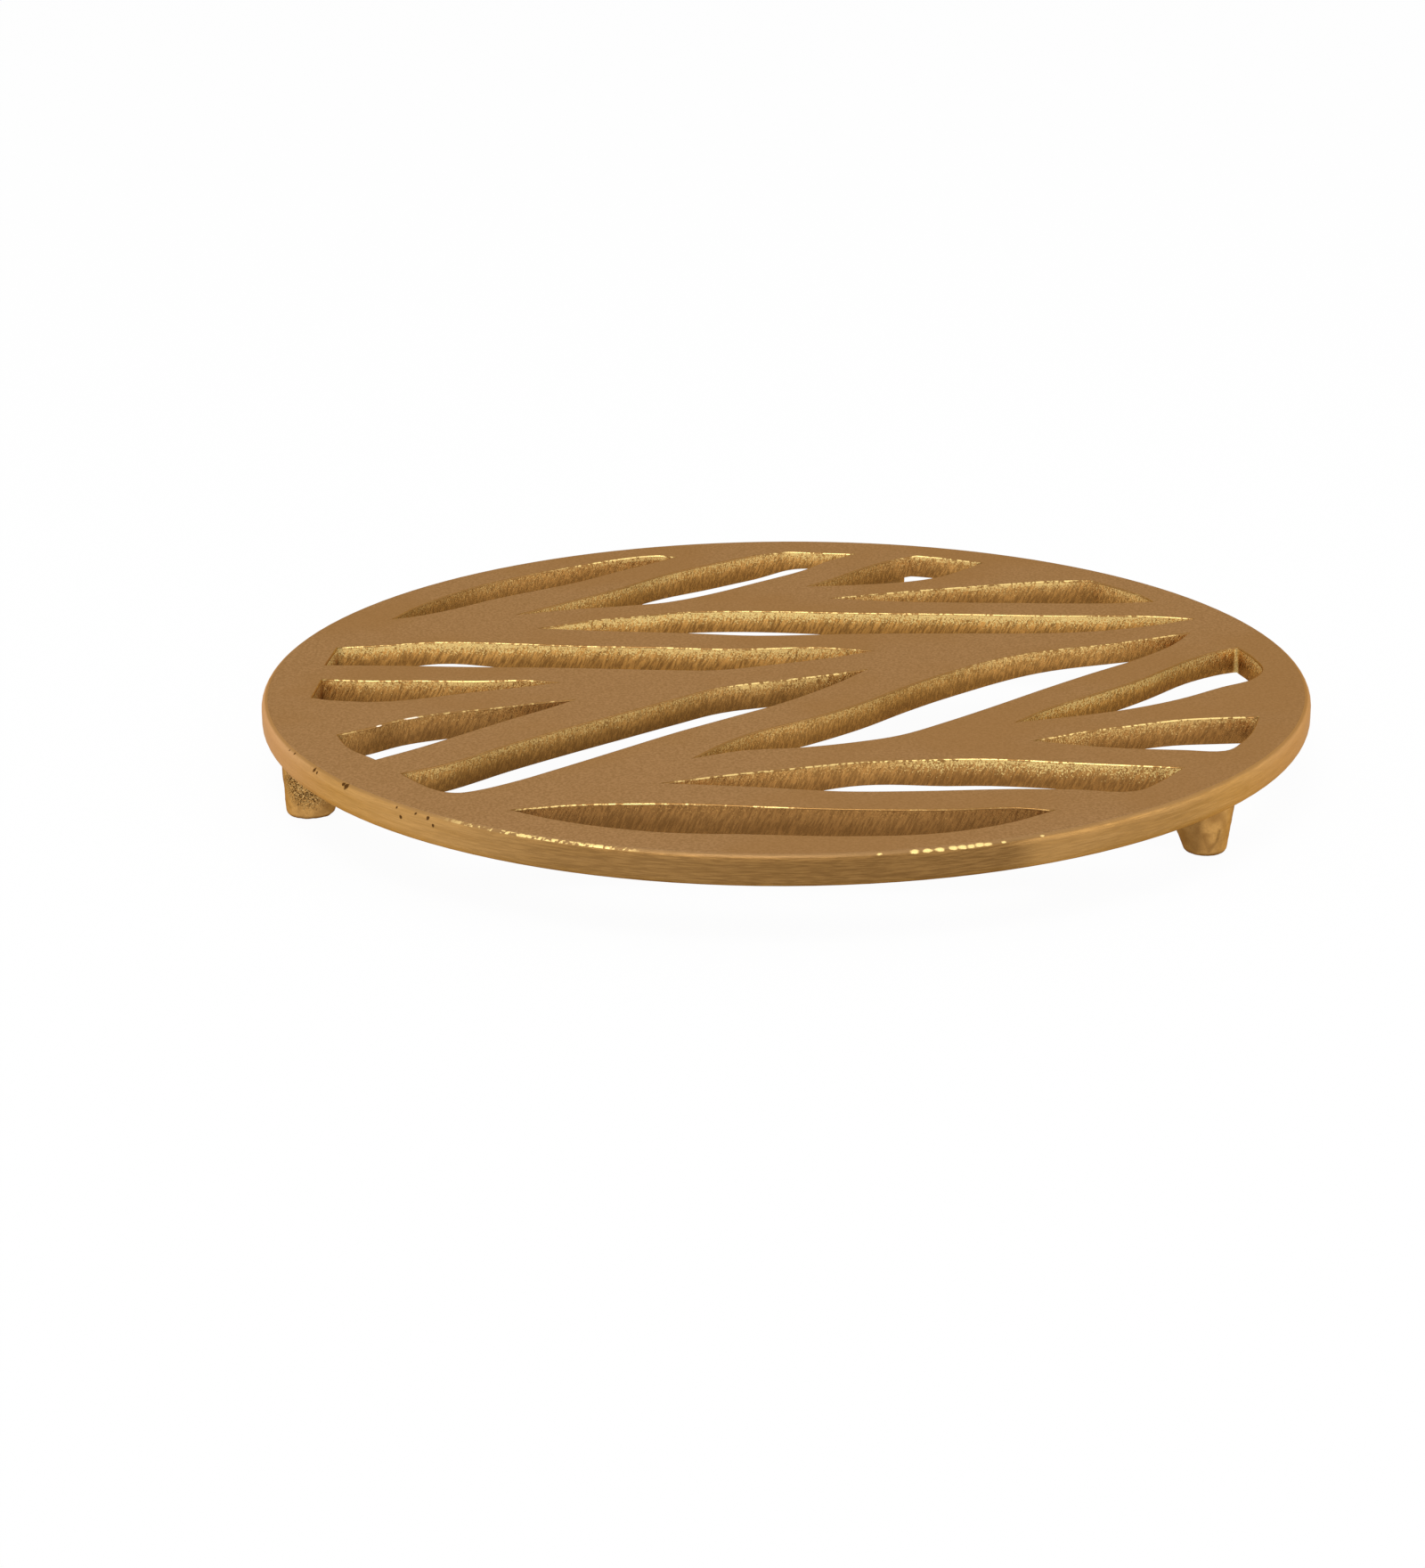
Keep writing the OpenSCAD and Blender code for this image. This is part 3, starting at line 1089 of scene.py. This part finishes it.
@dataclass
class PegFoot:
    """One tapered peg foot with a rounded end and a rough cast skin."""

    skin: bpy.types.Material
    shape: PegShape
    sides: int = 128
    rings: int = 36
    ring_margin: float = 0.3
    end_segments: int = 8
    end_level: float = 0.01 * MM
    seat: float = 1.6 * MM
    crease_width: float = 0.45
    crease_cut: float = 0.05
    skin_grain: float = 2.2 * MM
    skin_depth: float = 0.25 * MM
    skin_level: float = 0.1
    smooth_turn: float = math.radians(50)
    inner_shade: float = 0.40
    inner_from: float = -0.25
    under_shade: float = 1.5
    under_from: float = 0.2
    left_from: float = 0.5
    left_fade: float = 1.2
    darkest: float = 0.85
    piece: Piece = field(init=False)
    middle: Vector = field(init=False)
    radius: float = field(init=False)
    shoulder: float = field(init=False)

    def __post_init__(self) -> None:
        """Read the foot's place and sizes from the frame."""
        low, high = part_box(self.shape.node)
        self.middle = (low + high) / 2
        self.radius = (high.x - low.x) / 2
        self.shoulder = PLATE_LOW.z + self.seat

    def build(self) -> None:
        """Model and dress the foot."""
        deselect_all()
        bpy.ops.mesh.primitive_cylinder_add(
            vertices=self.sides, radius=self.radius, depth=self.shoulder,
            location=(self.middle.x, self.middle.y, self.shoulder / 2))
        piece = bpy.context.object
        piece.name = self.shape.node + "_peg"
        settle(piece)
        self.piece = piece
        self.round_end()
        self.cut_rings()
        self.shape_side()
        self.roughen()
        self.shade_sides()
        piece.data.materials.append(self.skin)
        make_active(piece)
        bpy.ops.object.shade_smooth_by_angle(angle=self.smooth_turn)
        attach(piece, "root")
        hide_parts(self.shape.node)
        LOG.info("%s: %d faces", piece.name, len(piece.data.polygons))

    def round_end(self) -> None:
        """Round the lower edge."""
        vertices = self.piece.data.vertices
        with editing(self.piece, Element.EDGE, lambda edge: all(
                vertices[index].co.z < self.end_level for index in edge.vertices)):
            bpy.ops.mesh.bevel(offset=self.shape.end_round * MM, segments=self.end_segments, profile=0.5)

    def cut_rings(self) -> None:
        """Cut level rings into the side, so that it can be shaped."""
        start = (self.shape.end_round + self.ring_margin) * MM
        reach = self.shoulder - self.ring_margin * MM - start
        for ring in range(self.rings):
            height = start + reach * ring / (self.rings - 1)
            with editing(self.piece, Element.FACE, lambda face: True):
                bpy.ops.mesh.bisect(plane_co=(0, 0, height), plane_no=(0, 0, 1))

    def shape_side(self) -> None:
        """Draw each side in towards the lower end by its own amount, and press the creases into it."""
        for vertex in self.piece.data.vertices:
            offset = (vertex.co.xy - self.middle.xy) / self.radius
            left, right = (
                end + (most - end) * clamp(vertex.co.z / (reached * MM))
                for end, most, reached in (self.shape.left, self.shape.right))
            across = left if offset.x < 0 else right
            vertex.co.x = self.middle.x + offset.x * across * MM
            vertex.co.y = self.middle.y + offset.y * (left + right) / 2 * MM
            offset = (vertex.co.xy - self.middle.xy) / MM
            depth = self.crease_depth(offset, vertex.co.z / MM) * self.crease_cut
            vertex.co.xy = self.middle.xy + offset * (1 - depth) * MM

    def crease_depth(self, offset: Vector, height: float) -> float:
        """How strong the nearest crease in the front is at one point.

        Args:
            offset: The point's place from the foot's middle, in millimetres.
            height: Its height in millimetres.

        Returns:
            From 0 clear of every crease to that crease's own strength on its line.
        """
        deepest = 0.0
        for start, end, strength in self.shape.creases if offset.y < 0 else ():
            along = Vector(end) - Vector(start)
            place = Vector((offset.x, height)) - Vector(start)
            far = (place - along * clamp(place.dot(along) / along.length_squared)).length
            deepest = max(deepest, strength * max(0.0, 1 - far / self.crease_width))
        return deepest

    def roughen(self) -> None:
        """Make the skin uneven, with hollows of up to about 0.2 mm."""
        texture = bpy.data.textures.new(self.piece.name + "_skin", "CLOUDS")
        texture.noise_scale = self.skin_grain
        modifier = self.piece.modifiers.new("skin", "DISPLACE")
        modifier.texture = texture
        modifier.texture_coords = "LOCAL"
        modifier.strength = -self.skin_depth
        modifier.mid_level = self.skin_level
        make_active(self.piece)
        bpy.ops.object.modifier_apply(modifier="skin")

    def shade_sides(self) -> None:
        """Write the painted shade on the skin: darker inside, under the end, in the creases and on a shaded
        left side.
        """
        inward = -self.middle.xy.normalized()
        shade = self.piece.data.attributes.new("shade", "FLOAT", "POINT")
        for vertex in self.piece.data.vertices:
            offset = (vertex.co.xy - self.middle.xy) / MM
            inner = self.inner_shade * max(0.0, vertex.normal.xy.dot(inward) - self.inner_from)
            under = max(0.0, -vertex.normal.z - self.under_from) * self.under_shade
            left = self.shape.shaded_left * clamp((-offset.x - self.left_from) / self.left_fade)
            crease = self.crease_depth(offset, vertex.co.z / MM)
            shade.data[vertex.index].value = min(self.darkest, max(inner + under, left, crease))


@dataclass(frozen=True)
class PhotoCamera:
    """The camera at the photograph's viewing angle."""

    focal_px: float = 4000.0
    distance: float = 0.6855
    elevation: float = 17.36
    roll: float = 0.182
    middle_px: Pair = (880.92, 759.13)
    sensor: float = 36.0
    clip_start: float = 0.01

    def build(self) -> None:
        """Place the camera so that the plate's middle falls on its pixel."""
        target = Vector((0, 0, CAD_BOX[1].z))
        tilt = math.radians(self.elevation)
        place = target + self.distance * Vector((0, -math.cos(tilt), math.sin(tilt)))
        forward = (target - place).normalized()
        right = Vector((1, 0, 0))
        look = Matrix((right, right.cross(forward), forward))
        aim = Vector((
            (self.middle_px[0] - PHOTO_WIDTH / 2) / self.focal_px,
            (PHOTO_HEIGHT / 2 - self.middle_px[1]) / self.focal_px,
            1.0)).normalized()
        swing = Vector((0, 0, 1)).rotation_difference(aim).to_matrix()
        rows = swing @ Matrix.Rotation(math.radians(self.roll), 3, "Z") @ look
        axes = Matrix((rows[0], rows[1], -rows[2])).transposed()
        data = bpy.data.cameras.new("photo_camera")
        data.sensor_width = self.sensor
        data.lens = self.focal_px * self.sensor / max(PHOTO_WIDTH, PHOTO_HEIGHT)
        data.clip_start = self.clip_start
        camera = bpy.data.objects.new("photo_camera", data)
        camera.matrix_world = Matrix.Translation(place) @ axes.to_4x4()
        bpy.context.scene.collection.objects.link(camera)
        bpy.context.scene.camera = camera


@dataclass(frozen=True)
class Studio:
    """The pale floor, the white surround and the soft lamps.

    A lamp has its name, its place, its side and its power in watts.
    """

    floor_size: float = 3.0
    floor_gap: float = 0.02 * MM
    floor_tone: Tone = (0.86, 0.86, 0.86, 1)
    white: Tone = (1, 1, 1, 1)
    surround_light: float = 0.8
    shadow_share: float = 0.04
    lamps: tuple = (
        ("overhead_softbox", (-0.15, -0.35, 1.1), 0.5, 4.0),
        ("side_softbox", (0.9, -0.3, 0.7), 0.6, 1.5))

    def show(self, nodes: Nodes, output: str, light: Socket, seen: Socket, share: float) -> None:
        """Give the rays that see the background another shader than those that light things.

        Args:
            nodes: The helper of the tree.
            output: The output node's type name.
            light: The shader for the rays that light things.
            seen: The shader for camera, glossy and transmission rays.
            share: How much of it those rays see.
        """
        path = nodes.add("LightPath").outputs
        rays = nodes.chain(
            "MAXIMUM", path["Is Camera Ray"], path["Is Glossy Ray"], path["Is Transmission Ray"])
        mix = nodes.add("MixShader")
        for value, socket in zip((nodes.product(rays, share), light, seen), mix.inputs):
            nodes.feed(value, socket)
        nodes.add(output, Surface=mix.outputs[0])

    def build_world(self) -> None:
        """Make the white surround."""
        world = bpy.data.worlds.new("surround")
        nodes = Nodes.empty(world)
        light = nodes.add("Background", Color=self.white, Strength=self.surround_light)
        white = nodes.add("Background", Color=self.white, Strength=1.0)
        self.show(nodes, "OutputWorld", light.outputs[0], white.outputs[0], 1.0)
        bpy.context.scene.world = world

    def build_floor(self) -> None:
        """Make the floor, which is seen white and keeps a faint shadow."""
        deselect_all()
        bpy.ops.mesh.primitive_plane_add(size=self.floor_size, location=(0, 0, -self.floor_gap))
        floor = bpy.context.object
        floor.name = "studio_floor"
        material = bpy.data.materials.new("studio floor")
        nodes = Nodes.empty(material)
        paper = nodes.add("BsdfDiffuse", Color=self.floor_tone)
        glow = nodes.add("Emission", Strength=1.0)
        self.show(nodes, "OutputMaterial", paper.outputs[0], glow.outputs[0], 1 - self.shadow_share)
        floor.data.materials.append(material)

    def hang_lamps(self) -> None:
        """Add the soft square lamps, which look at the trivet."""
        for name, place, side, power in self.lamps:
            data = bpy.data.lights.new(name, "AREA")
            data.size = side
            data.energy = power
            lamp = bpy.data.objects.new(name, data)
            lamp.location = place
            lamp.rotation_euler = (-Vector(place)).to_track_quat("-Z", "Y").to_euler()
            bpy.context.scene.collection.objects.link(lamp)


def main() -> None:
    """Build the studio, then each piece in order."""
    logging.basicConfig(level=logging.INFO)
    bpy.context.scene.view_settings.view_transform = "Standard"
    PhotoCamera().build()
    studio = Studio()
    studio.build_world()
    studio.build_floor()
    studio.hang_lamps()
    effects = SharedEffects.build()
    PiercedPlate(effects).build()
    skin = CastSkin(effects).build()
    for shape in PEG_SHAPES:
        PegFoot(skin, shape).build()


if __name__ == "__main__":
    main()
